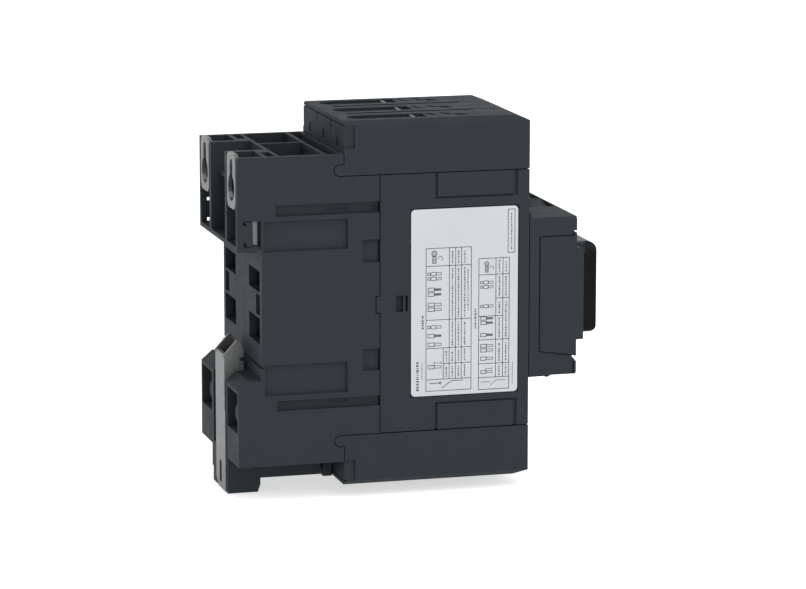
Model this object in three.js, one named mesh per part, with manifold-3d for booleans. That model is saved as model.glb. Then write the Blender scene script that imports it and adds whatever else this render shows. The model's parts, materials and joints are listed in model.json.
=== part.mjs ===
// A three-pole contactor that clips onto a 35 mm rail.
// Millimetres, +Z up. X is the width, the front of the device looks along -Y, and the origin is
// on the flat face that rests against the rail, at the rail's centre line.
import * as THREE from 'three';
import { mergeVertices } from 'three/addons/utils/BufferGeometryUtils.js';
import ManifoldModule from 'manifold-3d';

const wasm = await ManifoldModule();
wasm.setup();

// Driving dimensions
const HALF_WIDTH = 27.5;
const WALL = 2.2;
const GAP = 0.3;
const PAST = 1;
const INNER_HALF = HALF_WIDTH - WALL;
const POLE_PITCH = 18;
const POLES = [-POLE_PITCH, 0, POLE_PITCH];
const SIDES = [-1, 1];

// Depth stations, from the rear plane to the front
const REAR = 8;
const RAIL_FACE = 0;
const HEAD_REAR = -27.7;
const BASE_FRONT = -39.4;
const HOUSING_REAR = BASE_FRONT - GAP;
const HOUSING_FRONT = -90.4;
const MODULE_REAR = HOUSING_FRONT - GAP;
const MODULE_FRONT = -107;
const PAD_FRONT = -109.4;

// Height stations
const HEAD_TOP = 56.85;
const BASE_TOP = 46.3;
const TOP_SEAM = 39.1;
const BOTTOM_SEAM = -46.6;
const BASE_BOTTOM = -55.4;
const HEAD_BOTTOM = -63.6;
const KEEL_BOTTOM = -62.9;
const FOOT_BOTTOM = -67.6;

// Rounded tongue that keys each power head into the base
const TONGUE = { y: -26.1, radius: 1.75 };

// Magnet, all centred on the Y axis through the origin
const MAGNET = { halfX: 8, halfZ: 22, centreLeg: 5.8, outerLeg: 15.4, rear: -4.7, yoke: 7, face: -26.7 };
const AIR_GAP = 6.2;

// Main contacts
const BAR = { halfX: 4, rear: -53, front: -55, inner: 12.5, button: 16.5, radius: 2.8, proud: 1.5 };
const CLAMP_PAD = { halfX: 3.7, rear: -52.6, low: 3.4, high: 13.1 };
const BRIDGE = { halfX: 3.6, halfZ: 20.5, front: -64.2, rear: -62.7, proud: 1.6 };
const WINDOW = { front: -71, rear: -62.4, halfX: 4.2 };

// Power terminals: one cage and one screw per pole and side
const CAGE = { halfX: 6.2, wall: 1.2, rear: -31.4, front: -59.8, rearWall: 1.6, frontWall: 2.4 };
const CAGE_Z = { low: 2.9, high: 13.7 };
const SCREW = { radius: 2.9, headRadius: 4.3, tip: -55.3, headRear: -72.6, headFront: -78.6, lift: 8.3 };
const ROOM = { halfX: 7.4, rear: -30.6, front: -73.4, floor: 1.95, ceiling: 14.5 };
const CABLE_SLOT = { halfX: 4, rear: -31, front: -57 };

// Control terminals in the front module
const CONTROL_X = { top: [3, 19], bottom: [-13, 0, 13] };
const CONTROL = { plate: -95, screwTip: -96.3, washer: -100.6, head: -101.4, headFront: -104, well: 3.1 };

// Rail clip
const CLIP = { centre: -2.5, halfWidth: 6.5, rear: 8.4, sheet: 1.2, top: -21.5, bottom: -67.4, wideX: -9.6 };
const CLIP_TAB = { top: -38.8, bottom: -40 };
const SPRING_SEAT = -52.3;

// Body of the front module
const MODULE = { half: 27.2, top: 22.5, bottom: -30.5, corner: 0.8 };
const FUNNELS = { spans: [[-4.8, 10.8], [12, 26]], depth: 2.2, ys: [-106.3, -93.4] };

// Smoked front cover
const COVER = { halfX: 13.5, front: -118.4, rear: -111.1, top: 11.2, bottom: -19.8, sheet: 1.2 };
const COVER_EDGE = { front: 2.4, corner: 3.3, hinge: 0.6 };
const COVER_PIN = { y: -111.9, z: 10.2, radius: 0.7, half: 15.2 };

// Finishes
function finish(color, roughness, metalness) {
  return new THREE.MeshStandardMaterial({ color, roughness, metalness });
}
const PLASTIC = [0x373d41, 0.55, 0];
const STEEL = [0x9a9c9a, 0.38, 0.9];
const BRASS = [0xb0904f, 0.35, 0.9];
const COPPER = [0xa8643c, 0.35, 0.9];
const CORE_STEEL = [0x6d7073, 0.5, 0.8];

// Geometry helpers
const AXES = {
  x: new THREE.Matrix4().makeBasis(vec(0, 1, 0), vec(0, 0, 1), vec(1, 0, 0)),
  y: new THREE.Matrix4().makeBasis(vec(0, 0, 1), vec(1, 0, 0), vec(0, 1, 0)),
  z: new THREE.Matrix4(),
};

function vec(x, y, z) {
  return new THREE.Vector3(x, y, z);
}

function solid(geometry) {
  geometry.deleteAttribute('normal');
  geometry.deleteAttribute('uv');
  const merged = mergeVertices(geometry, 1e-5);
  const vertProperties = new Float32Array(merged.attributes.position.array);
  const triVerts = new Uint32Array(merged.index.array);
  return new wasm.Manifold(new wasm.Mesh({ numProp: 3, vertProperties, triVerts }));
}

// Box between two limits on each axis, in either order
function box(xs, ys, zs) {
  const spans = [xs, ys, zs];
  const size = spans.map(([a, b]) => Math.abs(b - a));
  const middle = spans.map(([a, b]) => (a + b) / 2);
  return solid(new THREE.BoxGeometry(...size).translate(...middle));
}

// Prism of a closed outline: along x the outline is (y, z), along y it is (z, x), along z it is (x, y)
function prism(axis, outline, from, to) {
  const isShape = outline instanceof THREE.Shape;
  const shape = isShape ? outline : new THREE.Shape(outline.map(([a, b]) => new THREE.Vector2(a, b)));
  const depth = Math.abs(to - from);
  const body = new THREE.ExtrudeGeometry(shape, { depth, bevelEnabled: false, curveSegments: 8 });
  body.translate(0, 0, Math.min(from, to));
  body.applyMatrix4(AXES[axis]);
  return solid(body);
}

// Round bar along an axis, centred on the other two coordinates in x, y, z order
function rod(axis, centre, radius, from, to, segments = 20) {
  const bar = new THREE.CylinderGeometry(radius, radius, Math.abs(to - from), segments);
  const middle = (from + to) / 2;
  if (axis === 'x') bar.rotateZ(Math.PI / 2).translate(middle, centre[0], centre[1]);
  if (axis === 'y') bar.translate(centre[0], middle, centre[1]);
  if (axis === 'z') bar.rotateX(Math.PI / 2).translate(centre[0], centre[1], middle);
  return solid(bar);
}

function join(first, ...others) {
  return others.flat().reduce((whole, piece) => whole.add(piece), first);
}

function cut(whole, ...tools) {
  return tools.flat().reduce((left, tool) => left.subtract(tool), whole);
}

function roundedRect(x0, x1, y0, y1, r) {
  const shape = new THREE.Shape();
  shape.moveTo(x0 + r, y0);
  shape.lineTo(x1 - r, y0);
  shape.absarc(x1 - r, y0 + r, r, -Math.PI / 2, 0, false);
  shape.lineTo(x1, y1 - r);
  shape.absarc(x1 - r, y1 - r, r, 0, Math.PI / 2, false);
  shape.lineTo(x0 + r, y1);
  shape.absarc(x0 + r, y1 - r, r, Math.PI / 2, Math.PI, false);
  shape.lineTo(x0, y0 + r);
  shape.absarc(x0 + r, y0 + r, r, Math.PI, Math.PI * 1.5, false);
  return shape;
}

// The same box on both flanks, given by its distances from the middle plane
function onBothSides(xs, ys, zs) {
  return SIDES.map((side) => box(xs.map((x) => side * x), ys, zs));
}

// Coil spring along an axis: a helix of round wire
class Helix extends THREE.Curve {
  constructor(radius, length, turns) {
    super();
    Object.assign(this, { radius, length, turns });
  }

  getPoint(t, target = new THREE.Vector3()) {
    const angle = t * this.turns * Math.PI * 2;
    return target.set(Math.cos(angle) * this.radius, Math.sin(angle) * this.radius, t * this.length);
  }
}

function spring(axis, centre, radius, wire, turns, from, to) {
  const section = new THREE.Shape();
  section.absarc(0, 0, wire / 2, 0, Math.PI * 2, false);
  const length = Math.abs(to - from) - wire;
  const path = new Helix(radius, length, turns);
  const coil = new THREE.ExtrudeGeometry(section, { steps: turns * 10, extrudePath: path, curveSegments: 3 });
  coil.translate(0, 0, Math.min(from, to) + wire / 2);
  coil.applyMatrix4(AXES[axis]);
  const offset = { y: [centre[0], 0, centre[1]], z: [centre[0], centre[1], 0] }[axis];
  coil.translate(...offset);
  return solid(coil);
}

const assembly = new THREE.Group();

function place(name, body, [color, roughness, metalness]) {
  const { vertProperties, triVerts } = body.getMesh();
  const geometry = new THREE.BufferGeometry();
  geometry.setAttribute('position', new THREE.BufferAttribute(vertProperties, 3));
  geometry.setIndex(new THREE.BufferAttribute(triVerts, 1));
  geometry.computeVertexNormals();
  const piece = new THREE.Mesh(geometry, finish(color, roughness, metalness));
  piece.name = name;
  assembly.add(piece);
}

// Rear base: holds the magnet, carries the rail recess, the lugs and the clip channel
function baseOutline() {
  const seam = { top: TOP_SEAM - GAP / 2, bottom: BOTTOM_SEAM + GAP / 2 };
  const socket = TONGUE.radius + GAP;
  const step = HEAD_REAR + GAP;
  const outline = new THREE.Shape();
  outline.moveTo(REAR, BASE_TOP);
  outline.lineTo(step, BASE_TOP);
  outline.lineTo(step, seam.top + 2 * socket);
  outline.absarc(TONGUE.y, seam.top + socket, socket, Math.PI / 2, -Math.PI / 2, true);
  outline.lineTo(BASE_FRONT, seam.top);
  outline.lineTo(BASE_FRONT, seam.bottom);
  outline.absarc(TONGUE.y, seam.bottom - socket, socket, Math.PI / 2, -Math.PI / 2, true);
  outline.lineTo(step, seam.bottom - 2 * socket);
  outline.lineTo(step, BASE_BOTTOM);
  outline.lineTo(REAR, BASE_BOTTOM);
  const railRecess = [
    [REAR, -30.1], [4.3, -26.9], [0.4, -27.1], [0.4, -23], [-0.6, -23], [-0.6, -22.3], [RAIL_FACE, -22.3],
    [RAIL_FACE, 17.9], [1.4, 17.9], [1.4, 15.3], [REAR, 15.8],
  ];
  railRecess.forEach(([y, z]) => outline.lineTo(y, z));
  return outline;
}

function basePockets() {
  const open = BASE_TOP + PAST;
  const ribA = -5.9;
  const ribC = -21.5;
  const inner = 25.5;
  const behind = REAR + PAST;
  return [
    box([-inner, 2.3], [ribC + 0.7, ribA - 0.6], [33, open]),
    box([3.7, inner], [ribC + 0.7, ribA - 0.6], [33, open]),
    box([-inner, inner], [-26, ribC - 0.7], [41.5, open]),
    box([-10.2, 10.2], [ribA + 0.6, 0], [33, open]),
    box([-10.2, 10.2], [-1, behind], [17.3, open]),
    onBothSides([12.9, inner], [-1, behind], [17.3, open]),
    onBothSides([16, inner], [ribA + 0.6, -2.4], [38, open]),
  ].flat();
}

function baseFlankMarks() {
  const skin = (depth) => [HALF_WIDTH - depth, HALF_WIDTH + PAST];
  const rimY = BASE_FRONT - PAST;
  return [
    onBothSides(skin(1.6), [rimY, -4.75], [26.8, 30.5]),
    onBothSides(skin(2.1), [-39.2, -36.9], [27.3, 29.3]),
    onBothSides(skin(2.1), [-28.9, -22.4], [28.2, 29.6]),
    onBothSides(skin(1.2), [-28.8, -0.9], [15.3, 25.3]),
    onBothSides(skin(1.2), [-28.6, -0.95], [-32.1, -21.9]),
    onBothSides(skin(1.6), [rimY, -4.9], [-37.2, -33.8]),
    onBothSides(skin(2.1), [-28.9, -22.4], [-35.6, -34.4]),
    onBothSides(skin(1.5), [rimY, -33.8], [10.5, 18]),
    onBothSides(skin(1.5), [rimY, -33.8], [-25.4, -18.1]),
    onBothSides(skin(0.6), [3, 6], [17.1, 17.5]),
    onBothSides(skin(0.6), [3, 6], [25.4, 25.8]),
    onBothSides(skin(WALL + 0.4), [0.1, 2.9], [17.4, 25.6]),
    onBothSides(skin(1.2), [rimY, -38.05], [-6.7, -0.75]),
  ].flat();
}

function railFaceWindows() {
  const wall = [-2.6 - PAST, RAIL_FACE + PAST];
  return [
    onBothSides([9.6, 24.8], wall, [1.7, 8.6]),
    onBothSides([19.4, 24.8], wall, [-5.9, 0.7]),
    onBothSides([9.6, 24.8], wall, [-15.5, -6.9]),
  ].flat();
}

function clipChannel() {
  const left = CLIP.centre - CLIP.halfWidth - 0.4;
  const right = CLIP.centre + CLIP.halfWidth + 0.4;
  const behind = REAR + PAST;
  const sheetFloor = CLIP.rear - CLIP.sheet - GAP;
  return [
    box([left, right], [1.2, behind], [SPRING_SEAT, -20]),
    box([left, right], [sheetFloor, behind], [FOOT_BOTTOM - PAST, SPRING_SEAT + PAST]),
    box([CLIP.wideX - PAST, right], [sheetFloor, behind], [FOOT_BOTTOM - PAST, CLIP_TAB.bottom + 0.4]),
    box([right - PAST, 9], [5, behind], [-54, -20]),
  ];
}

function foot() {
  const keel = box([-11.5, 11.5], [-23.4, REAR], [KEEL_BOTTOM, BASE_BOTTOM + PAST]);
  const ridge = box([-11.5, 11.5], [-27.3, -24.3], [KEEL_BOTTOM - 0.8, BASE_BOTTOM + PAST]);
  const web = box([-11.5, 11.5], [-25, -23], [BASE_BOTTOM - 2, BASE_BOTTOM + PAST]);
  const heel = [
    [8.1, BASE_BOTTOM + PAST], [-3, BASE_BOTTOM + PAST], [-3, -65], [-2.1, FOOT_BOTTOM], [8.1, FOOT_BOTTOM],
  ];
  return join(keel, ridge, web, prism('x', heel, -11.5, 9.5));
}

function rearBase() {
  const shell = join(prism('x', baseOutline(), -HALF_WIDTH, HALF_WIDTH), foot());
  const cavity = [
    box([-INNER_HALF, INNER_HALF], [BASE_FRONT - PAST, -2.6], [-44.4, 31]),
    box([-INNER_HALF, INNER_HALF], [BASE_FRONT - PAST, -27.6], [30, 36.6]),
    box([-INNER_HALF, INNER_HALF], [-25.4, -2.6], [-53, -44]),
  ];
  const blockPockets = onBothSides([11.6, 26], [-1, REAR + PAST], [-44.4, -31.2]);
  const wallHoles = [17.4, 24.2].map((z) => onBothSides([25, HALF_WIDTH + PAST], [4.7, 6], [z, z + 1.3]));
  const hollowed = cut(shell, cavity, basePockets(), baseFlankMarks(), railFaceWindows(), clipChannel(),
    blockPockets, wallHoles.flat());
  const shelf = box([-10.5, 10.5], [-5.5, 5], [35.6, 37]);
  const posts = SIDES.map((side) => rod('y', [side * 19, -38.8], 2.6, -1.5, 6.5));
  return join(hollowed, shelf, posts);
}
place('rear_base', rearBase(), PLASTIC);

// Front housing: three contact chambers side by side
function housingTabs() {
  const skin = [HALF_WIDTH - 0.8, HALF_WIDTH + PAST];
  const rows = [{ edge: 30.8, seam: TOP_SEAM }, { edge: -37.6, seam: BOTTOM_SEAM }];
  return rows.map(({ edge, seam }) => [
    onBothSides(skin, [-59, -58.2], [edge, seam]),
    onBothSides(skin, [-86.3, -85.1], [edge, seam]),
    onBothSides(skin, [-86.3, -58.2], [edge - 0.25, edge + 0.25]),
  ]).flat(2);
}

function frontHousing() {
  const low = BOTTOM_SEAM + GAP / 2;
  const high = TOP_SEAM - GAP / 2;
  const shell = box([-HALF_WIDTH, HALF_WIDTH], [HOUSING_REAR, HOUSING_FRONT], [low, high]);
  const inner = [low + WALL, high - WALL];
  const cavity = box([-INNER_HALF, INNER_HALF], [-51, HOUSING_REAR + PAST], inner);
  const chambers = POLES.map((x) => box([x - 8.1, x + 8.1], [-88, -50], inner)
    .intersect(box([-INNER_HALF, INNER_HALF], [-90, 0], [-60, 60])));
  const carrierRun = box([-INNER_HALF, INNER_HALF], [-74.5, -50], [-8.6, 8.6]);
  const barSlots = POLES.map((x) => box([x - 4.6, x + 4.6], [BAR.front - 0.6, BAR.rear + 0.6], [-60, 60]));
  const stemHole = box([-3.6, 3.6], [-86, HOUSING_FRONT - PAST], [-5.6, -0.4]);
  const labelPocket = box([-HALF_WIDTH - PAST, -HALF_WIDTH + 0.6], [-86.8, -49.8], [-35.3, 27.4]);
  const latchSlots = [
    onBothSides([HALF_WIDTH - 1.8, HALF_WIDTH + PAST], [-47.4, -44.9], [-6.4, -1.05]),
    onBothSides([HALF_WIDTH - 1.8, HALF_WIDTH + PAST], [-48.9, -48.3], [-6.4, -1.05]),
  ].flat();
  const latches = onBothSides([HALF_WIDTH - 0.9, HALF_WIDTH], [-40, -38.35], [-6.4, -1.05]);
  const hollowed = cut(shell, cavity, chambers, carrierRun, barSlots, stemHole, labelPocket, latchSlots,
    housingTabs());
  return join(hollowed, latches);
}
place('front_housing', frontHousing(), PLASTIC);
place('side_label', prism('x', roundedRect(-86.5, -50.1, -35, 27.1, 1.4), -HALF_WIDTH, -HALF_WIDTH + 0.3),
  [0xd3d9db, 0.6, 0]);

// Power heads: the terminal blocks above and below the housing.
// Heights are counted outward from the seam, so one description serves both.
function headOutline(height) {
  const low = GAP / 2;
  const outline = new THREE.Shape();
  outline.moveTo(HOUSING_FRONT, low);
  outline.lineTo(TONGUE.y, low);
  outline.absarc(TONGUE.y, low + TONGUE.radius, TONGUE.radius, -Math.PI / 2, Math.PI / 2, false);
  outline.lineTo(HEAD_REAR, low + 2 * TONGUE.radius);
  outline.lineTo(HEAD_REAR, height);
  outline.lineTo(-86, height);
  outline.lineTo(HOUSING_FRONT, height - 1.7);
  return outline;
}

// Cable slot with a round rear end
function cableSlot(x, height) {
  const { halfX, front, rear } = CABLE_SLOT;
  const straight = box([x - halfX, x + halfX], [front, rear - halfX], [ROOM.floor, height + PAST]);
  return join(straight, rod('z', [x, rear - halfX], halfX, ROOM.floor, height + PAST, 24));
}

function powerHead(height) {
  const block = prism('x', headOutline(height), -HALF_WIDTH, HALF_WIDTH);
  const corners = SIDES.map((side) => prism('y', [
    [height + PAST, side * (HALF_WIDTH + PAST)],
    [height - 1.75, side * (HALF_WIDTH + PAST)],
    [height - 1.75, side * HALF_WIDTH],
    [height, side * (HALF_WIDTH - 2.4)],
    [height + PAST, side * (HALF_WIDTH - 2.4)],
  ], HOUSING_FRONT - PAST, HEAD_REAR + PAST));
  const rearSteps = onBothSides([HALF_WIDTH - 0.8, HALF_WIDTH + PAST], [-31.2, HEAD_REAR + PAST],
    [height - 8.7, height - 0.8]);
  const perPole = POLES.map((x) => [
    box([x - ROOM.halfX, x + ROOM.halfX], [ROOM.front, ROOM.rear], [ROOM.floor, ROOM.ceiling]),
    cableSlot(x, height),
    box([x - 4.6, x + 4.6], [BAR.front - 0.6, BAR.rear + 0.6], [-PAST, ROOM.floor + PAST]),
    rod('y', [x, SCREW.lift], 4.9, HOUSING_FRONT - PAST, ROOM.front + PAST, 24),
    rod('y', [x, height + 9.2], 10, HOUSING_FRONT - PAST, -86.4, 48),
    box([x - 0.8, x + 0.8], [HEAD_REAR - 1.4, HEAD_REAR + PAST], [8.6, 11.6]),
  ]).flat();
  const rearMarks = [
    box([-HALF_WIDTH - PAST, HALF_WIDTH + PAST], [HEAD_REAR - 0.7, HEAD_REAR + PAST],
      [height - 1.7, height - 1.35]),
    [7.8, -10.8].map((x) => box([x, x + 1], [HEAD_REAR - 1.4, HEAD_REAR + PAST],
      [height - 4.8, height - 1.6])),
  ].flat();
  const rowGrooves = [-POLE_PITCH / 2, POLE_PITCH / 2].map((x) => box([x - 0.4, x + 0.4], [-84, -52],
    [height - 0.5, height + PAST]));
  return cut(block, corners, rearSteps, rearMarks, perPole, rowGrooves);
}

// Turns a description counted upward from the seam into the upper or the lower one
function atHead(body, side) {
  return side > 0 ? body.translate([0, 0, TOP_SEAM]) : body.mirror([0, 0, 1]).translate([0, 0, BOTTOM_SEAM]);
}
place('power_head_top', atHead(powerHead(HEAD_TOP - TOP_SEAM), 1), PLASTIC);
place('power_head_bottom', atHead(powerHead(BOTTOM_SEAM - HEAD_BOTTOM), -1), PLASTIC);

function terminalCage(x) {
  const inner = CAGE.halfX - CAGE.wall;
  const frame = box([x - CAGE.halfX, x + CAGE.halfX], [CAGE.front, CAGE.rear], [CAGE_Z.low, CAGE_Z.high]);
  const throat = box([x - inner, x + inner], [CAGE.front + CAGE.frontWall, CAGE.rear - CAGE.rearWall],
    [CAGE_Z.low - PAST, CAGE_Z.high + PAST]);
  const thread = rod('y', [x, SCREW.lift], SCREW.radius + GAP, CAGE.front - PAST,
    CAGE.front + CAGE.frontWall + PAST);
  return cut(frame, throat, thread);
}

function powerScrew(x) {
  const shank = rod('y', [x, SCREW.lift], SCREW.radius, SCREW.tip, SCREW.headRear - 0.5);
  const head = rod('y', [x, SCREW.lift], SCREW.headRadius, SCREW.headRear, SCREW.headFront, 24);
  const socket = rod('y', [x, SCREW.lift], 2.3, SCREW.headFront - PAST, SCREW.headFront + 4, 6);
  return cut(join(shank, head), socket);
}

function fixedContact(x, seamDistance) {
  const bar = box([x - BAR.halfX, x + BAR.halfX], [BAR.front, BAR.rear], [BAR.inner - seamDistance, 13.4]);
  const button = rod('y', [x, BAR.button - seamDistance], BAR.radius, BAR.front + 0.5, BAR.front - BAR.proud);
  const pad = box([x - CLAMP_PAD.halfX, x + CLAMP_PAD.halfX], [BAR.rear - 0.5, CLAMP_PAD.rear],
    [CLAMP_PAD.low, CLAMP_PAD.high]);
  return join(bar, button, pad);
}

POLES.forEach((x, index) => {
  const pole = index + 1;
  const ends = [
    { name: 'line', side: 1, seamDistance: TOP_SEAM },
    { name: 'load', side: -1, seamDistance: -BOTTOM_SEAM },
  ];
  ends.forEach(({ name, side, seamDistance }) => {
    place(`${name}_contact_${pole}`, atHead(fixedContact(x, seamDistance), side), COPPER);
    place(`${name}_cage_${pole}`, atHead(terminalCage(x), side), STEEL);
    place(`${name}_screw_${pole}`, atHead(powerScrew(x), side), STEEL);
  });
});

// Electromagnet
function magnetCore() {
  const { halfX, halfZ, centreLeg, outerLeg, rear, yoke, face } = MAGNET;
  const block = box([-halfX, halfX], [rear, face], [-halfZ, halfZ]);
  const coilRoom = SIDES.map((side) => box([-halfX - PAST, halfX + PAST], [rear - yoke, face - PAST],
    [side * centreLeg, side * outerLeg]));
  const ringGrooves = SIDES.map((side) => shadingRing(side, GAP));
  return cut(block, coilRoom, ringGrooves);
}

// A shading ring is let into the pole face of each outer leg
function shadingRing(side, clearance = 0) {
  const face = MAGNET.face - (clearance ? PAST : 0);
  const rear = MAGNET.face + 1.2 + clearance;
  const outside = box([-5.5 - clearance, 5.5 + clearance], [face, rear],
    [side * (16.6 - clearance), side * (20.8 + clearance)]);
  const inside = box([-4.4 + clearance, 4.4 - clearance], [face - PAST, rear + PAST],
    [side * (17.7 + clearance), side * (19.7 - clearance)]);
  return cut(outside, inside);
}
place('magnet_core', magnetCore(), CORE_STEEL);
place('shading_ring_top', shadingRing(1), COPPER);
place('shading_ring_bottom', shadingRing(-1), COPPER);
place('magnet_pad', box([-10, 10], [-2.9, -4.4], [-20, 20]), [0x222425, 0.9, 0]);

function coilBobbin() {
  const tube = { halfX: MAGNET.halfX + 0.5, halfZ: MAGNET.centreLeg + 0.4, wall: 1.1 };
  const rear = MAGNET.rear - MAGNET.yoke - 0.4;
  const front = MAGNET.face - 1;
  const outerX = tube.halfX + tube.wall;
  const outerZ = tube.halfZ + tube.wall;
  const barrel = box([-outerX, outerX], [front, rear], [-outerZ, outerZ]);
  const flanges = [[rear, rear - 1.4], [front + 1.4, front]].map((ys) => box([-17.5, 17.5], ys, [-15, 15]));
  const bore = box([-tube.halfX, tube.halfX], [front - PAST, rear + PAST], [-tube.halfZ, tube.halfZ]);
  return cut(join(barrel, flanges), bore);
}

function coilWinding() {
  const outside = prism('y', roundedRect(-14, 14, -16.8, 16.8, 3), -25.9, -13.8);
  const inside = box([-9.9, 9.9], [-30, -10], [-7.6, 7.6]);
  return cut(outside, inside);
}
place('coil_bobbin', coilBobbin(), [0x2a2c2e, 0.6, 0]);
place('coil_winding', coilWinding(), [0x9a4f2a, 0.5, 0.6]);

function armature() {
  const face = MAGNET.face - AIR_GAP;
  const { halfX, halfZ, centreLeg, outerLeg } = MAGNET;
  const yoke = box([-halfX, halfX], [face - 9.8, face - 3], [-halfZ, halfZ]);
  const legs = [[-centreLeg, centreLeg], [outerLeg, halfZ], [-halfZ, -outerLeg]];
  return join(yoke, legs.map((zs) => box([-halfX, halfX], [face - 3.5, face], zs)));
}
place('armature', armature(), CORE_STEEL);

// Contact carrier: holds the armature, the three bridges and the indicator stem
function contactCarrier() {
  const plate = box([-17.5, 17.5], [-46, -43], [-17, 17]);
  const cheeks = onBothSides([8.4, 9.8], [-45, -36], [-12, 12]);
  const neck = box([-9.5, 9.5], [-58.5, -45], [-7, 7]);
  const beam = box([-24, 24], [-72.5, -57.6], [-7.5, 7.5]);
  const windows = POLES.map((x) => box([x - WINDOW.halfX, x + WINDOW.halfX], [WINDOW.front, WINDOW.rear],
    [-9, 9]));
  const stem = box([-3, 3], [-108.6, -72], [-5, -1]);
  const flag = box([-8, 8], [-108.6, -107.2], [-8, 2]);
  const auxWindow = box([-4, 4], [-99.6, -96.4], [-3.6, -2.4]);
  return cut(join(plate, cheeks, neck, cut(beam, windows), stem, flag), auxWindow);
}
place('contact_carrier', contactCarrier(), [0x3a2f28, 0.5, 0]);
place('aux_bridge', box([-11, 11], [-98.8, -97.2], [-3.3, -2.7]), BRASS);

function contactBridge(x) {
  const bar = box([x - BRIDGE.halfX, x + BRIDGE.halfX], [BRIDGE.front, BRIDGE.rear],
    [-BRIDGE.halfZ, BRIDGE.halfZ]);
  const buttons = SIDES.map((side) => rod('y', [x, side * BAR.button], BAR.radius, BRIDGE.rear - 0.5,
    BRIDGE.rear + BRIDGE.proud));
  return join(bar, buttons);
}
POLES.forEach((x, index) => {
  place(`contact_bridge_${index + 1}`, contactBridge(x), COPPER);
  const coil = spring('y', [x, 0], 2.6, 0.7, 4, WINDOW.front + GAP, BRIDGE.front - GAP);
  place(`contact_spring_${index + 1}`, coil, STEEL);
});
place('return_spring_left', spring('y', [-13.5, 0], 2.6, 0.7, 5, -42.7, -28), STEEL);
place('return_spring_right', spring('y', [13.5, 0], 2.6, 0.7, 5, -42.7, -28), STEEL);

// Steel lugs for screws, one in each upper corner. The leg below reaches down to the rail's edge.
const LUG = { plate: { low: 29, high: 47, half: 5.9, corner: 2.8 }, front: 6.7, mouthZ: 35.7 };

function mountingLug(side) {
  const centre = side * 19.4;
  const { low, high, half, corner } = LUG.plate;
  const plate = prism('y', roundedRect(low, high, centre - half, centre + half, corner), LUG.front, REAR);
  const neck = box([centre - 1.9, centre + 1.9], [6, REAR + PAST], [LUG.mouthZ, 43.2]);
  const neckEnd = rod('y', [centre, 43.2], 1.9, 6, REAR + PAST, 20);
  const mouth = rod('y', [centre, LUG.mouthZ], 4.35, 6, REAR + PAST, 28);
  const web = box([side * 23.6, side * 25], [1.2, 7.2], [30, 38]);
  const leg = box([side * 22.6, side * 25.1], [0.75, 2.2], [17.6, 32]);
  return cut(join(plate, web, leg), neck, neckEnd, mouth);
}
place('mounting_lug_left', mountingLug(-1), STEEL);
place('mounting_lug_right', mountingLug(1), STEEL);

// Rail clip: one bent sheet with two hooked ears
function railClip() {
  const left = CLIP.centre - CLIP.halfWidth;
  const right = CLIP.centre + CLIP.halfWidth;
  const front = CLIP.rear - CLIP.sheet;
  const strip = box([left, right], [front, CLIP.rear], [-62, CLIP.top]);
  const tailOutline = [
    [CLIP_TAB.bottom, CLIP.wideX], [CLIP_TAB.bottom, right], [-64.6, right], [CLIP.bottom, right - 3],
    [CLIP.bottom, CLIP.wideX],
  ];
  const tail = prism('y', tailOutline, front, CLIP.rear);
  const ear = [
    [8.4, -40], [8.4, -24.2], [7.4, -24.2], [7.4, -22.8], [8.4, -22.8], [8.75, -21.9], [4.1, -16.8],
    [3.2, -16.9], [1.7, -20.6], [2, -22.5], [3.2, -22.5], [3.2, -23.9], [1.9, -23.9], [1.9, -40],
  ];
  const ears = [left, right - CLIP.sheet].map((x) => prism('x', ear, x, x + CLIP.sheet));
  const tab = box([left, right], [2, CLIP.rear], [CLIP_TAB.bottom, CLIP_TAB.top]);
  const slot = box([CLIP.centre - 1.5, CLIP.centre + 1.5], [6, 10], [-65.4, -59.4]);
  const slotEnd = rod('y', [CLIP.centre, -59.4], 1.5, 6, 10, 16);
  return cut(join(strip, tail, ears, tab), slot, slotEnd);
}
place('din_clip', railClip(), STEEL);
const clipSpring = spring('z', [CLIP.centre, 4.6], 2.2, 0.7, 5, SPRING_SEAT + GAP, CLIP_TAB.bottom - GAP);
place('din_clip_spring', clipSpring, STEEL);

// Front module: control terminals above and below, indicator window in the middle
const CONTROL_ROWS = [
  { name: 'top', side: 1, z: 15.4, edge: MODULE.top },
  { name: 'bottom', side: -1, z: -24.6, edge: MODULE.bottom },
];

function moduleShell() {
  const { half, top, bottom, corner } = MODULE;
  const outline = [
    [bottom, half - corner], [bottom, corner - half], [bottom + corner, -half], [top - corner, -half],
    [top, corner - half], [top, half - corner], [top - corner, half], [bottom + corner, half],
  ];
  const fillet = [
    [MODULE_REAR, 20], [MODULE_REAR, 24.4], [-91.4, 23.4], [-92.2, 22.8], [-93.2, top], [-93.2, 20],
  ];
  const chin = [
    [MODULE_REAR, -29], [MODULE_REAR, -31.4], [-96.6, -31.3], [-98, -31.7], [-100.8, -30.2], [-100.8, -29],
  ];
  const pad = [
    [MODULE_FRONT + PAST, -18.8], [PAD_FRONT, -18.8], [PAD_FRONT, 10.8], [-108.9, 11.7], [MODULE_FRONT, 12.2],
    [MODULE_FRONT + PAST, 12.2],
  ];
  const ears = SIDES.map((side) => box([side * 14.1, side * 16.4], [-113.3, PAD_FRONT + PAST], [8, 11.7]));
  return join(prism('y', outline, MODULE_FRONT, MODULE_REAR), prism('x', fillet, -half, half),
    prism('x', chin, -24, 24), prism('x', pad, -half, half), ears);
}

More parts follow.
